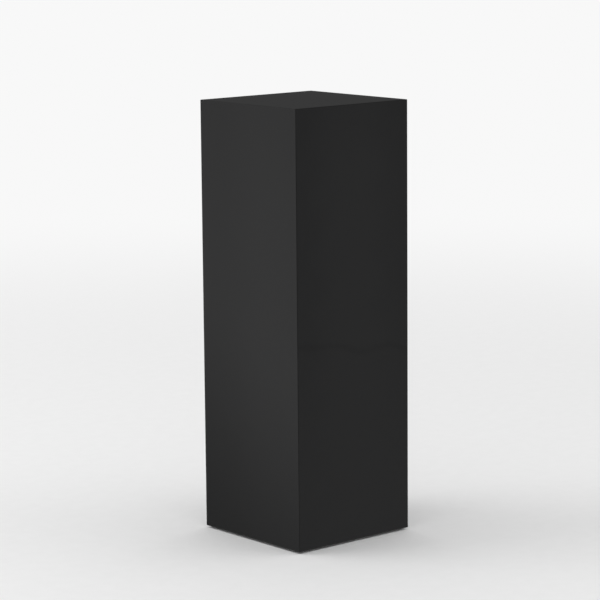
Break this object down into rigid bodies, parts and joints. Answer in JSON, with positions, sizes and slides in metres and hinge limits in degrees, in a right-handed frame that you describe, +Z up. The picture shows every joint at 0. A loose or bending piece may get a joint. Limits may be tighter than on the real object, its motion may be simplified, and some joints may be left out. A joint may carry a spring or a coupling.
{
  "type": "display plinth",
  "caption": "Tall square black-lacquered box plinth that holds an exhibit at viewing height, mitred on every corner, on screw-adjusted levelling feet.",
  "frame": {"origin": "on the floor, under the centre of the plinth, at the soles of the feet", "axes": "+Z up, -Y out of the front, +X to the right seen from the front"},
  "size_m": [0.3, 0.3, 0.9],
  "materials": {
    "lacquered_board": "black lacquer, polished to a low gloss, over 18 mm MDF",
    "bare_board": "bare MDF, sawn edges",
    "softwood": "planed pine, pencil-rounded edges",
    "beech": "pressed beech, glued in",
    "screw_steel": "yellow zinc-plated steel, cross recess",
    "zinc_steel": "bright zinc-plated steel",
    "nylon": "black moulded nylon",
    "sole_rubber": "matt rubber"
  },
  "bodies": {
    "carcass": {"back_panel": "lacquered_board", "base_panel": "bare_board", "base_panel_screws": "screw_steel", "base_rail_back": "softwood", "base_rail_front": "softwood", "base_rail_left": "softwood", "base_rail_right": "softwood", "base_rail_screws": "screw_steel", "corner_biscuits": "beech", "corner_post_back_left": "softwood", "corner_post_back_right": "softwood", "corner_post_front_left": "softwood", "corner_post_front_right": "softwood", "front_panel": "lacquered_board", "left_panel": "lacquered_board", "mid_brace": "bare_board", "post_screws": "screw_steel", "right_panel": "lacquered_board", "tee_nut_back_left": "zinc_steel", "tee_nut_back_right": "zinc_steel", "tee_nut_front_left": "zinc_steel", "tee_nut_front_right": "zinc_steel", "top_biscuits": "beech", "top_panel": "lacquered_board", "top_rail_back": "softwood", "top_rail_front": "softwood", "top_rail_left": "softwood", "top_rail_right": "softwood", "top_rail_screws": "screw_steel"},
    "foot_front_left": {"foot_pad_front_left": "nylon", "foot_sole_front_left": "sole_rubber"},
    "stud_front_left": {"foot_stud_front_left": "zinc_steel"},
    "foot_front_right": {"foot_pad_front_right": "nylon", "foot_sole_front_right": "sole_rubber"},
    "stud_front_right": {"foot_stud_front_right": "zinc_steel"},
    "foot_back_right": {"foot_pad_back_right": "nylon", "foot_sole_back_right": "sole_rubber"},
    "stud_back_right": {"foot_stud_back_right": "zinc_steel"},
    "foot_back_left": {"foot_pad_back_left": "nylon", "foot_sole_back_left": "sole_rubber"},
    "stud_back_left": {"foot_stud_back_left": "zinc_steel"}
  },
  "joints": [
    {"name": "foot_slide_front_left", "type": "slide", "parent": "carcass", "child": "foot_front_left", "axis": [0, 0, 1], "range_m": [-0.012, 0.004]},
    {"name": "stud_turn_front_left", "type": "hinge", "parent": "foot_front_left", "child": "stud_front_left", "pos_m": [-0.113, -0.113, 0], "axis": [0, 0, 1], "range_deg": [-3456, 1152]},
    {"name": "foot_slide_front_right", "type": "slide", "parent": "carcass", "child": "foot_front_right", "axis": [0, 0, 1], "range_m": [-0.012, 0.004]},
    {"name": "stud_turn_front_right", "type": "hinge", "parent": "foot_front_right", "child": "stud_front_right", "pos_m": [0.113, -0.113, 0], "axis": [0, 0, 1], "range_deg": [-3456, 1152]},
    {"name": "foot_slide_back_right", "type": "slide", "parent": "carcass", "child": "foot_back_right", "axis": [0, 0, 1], "range_m": [-0.012, 0.004]},
    {"name": "stud_turn_back_right", "type": "hinge", "parent": "foot_back_right", "child": "stud_back_right", "pos_m": [0.113, 0.113, 0], "axis": [0, 0, 1], "range_deg": [-3456, 1152]},
    {"name": "foot_slide_back_left", "type": "slide", "parent": "carcass", "child": "foot_back_left", "axis": [0, 0, 1], "range_m": [-0.012, 0.004]},
    {"name": "stud_turn_back_left", "type": "hinge", "parent": "foot_back_left", "child": "stud_back_left", "pos_m": [-0.113, 0.113, 0], "axis": [0, 0, 1], "range_deg": [-3456, 1152]}
  ],
  "couplings": [
    {"joint": "foot_slide_front_left", "follows": "stud_turn_front_left", "m_per_rad": 0.00019894},
    {"joint": "foot_slide_front_right", "follows": "stud_turn_front_right", "m_per_rad": 0.00019894},
    {"joint": "foot_slide_back_right", "follows": "stud_turn_back_right", "m_per_rad": 0.00019894},
    {"joint": "foot_slide_back_left", "follows": "stud_turn_back_left", "m_per_rad": 0.00019894}
  ]
}
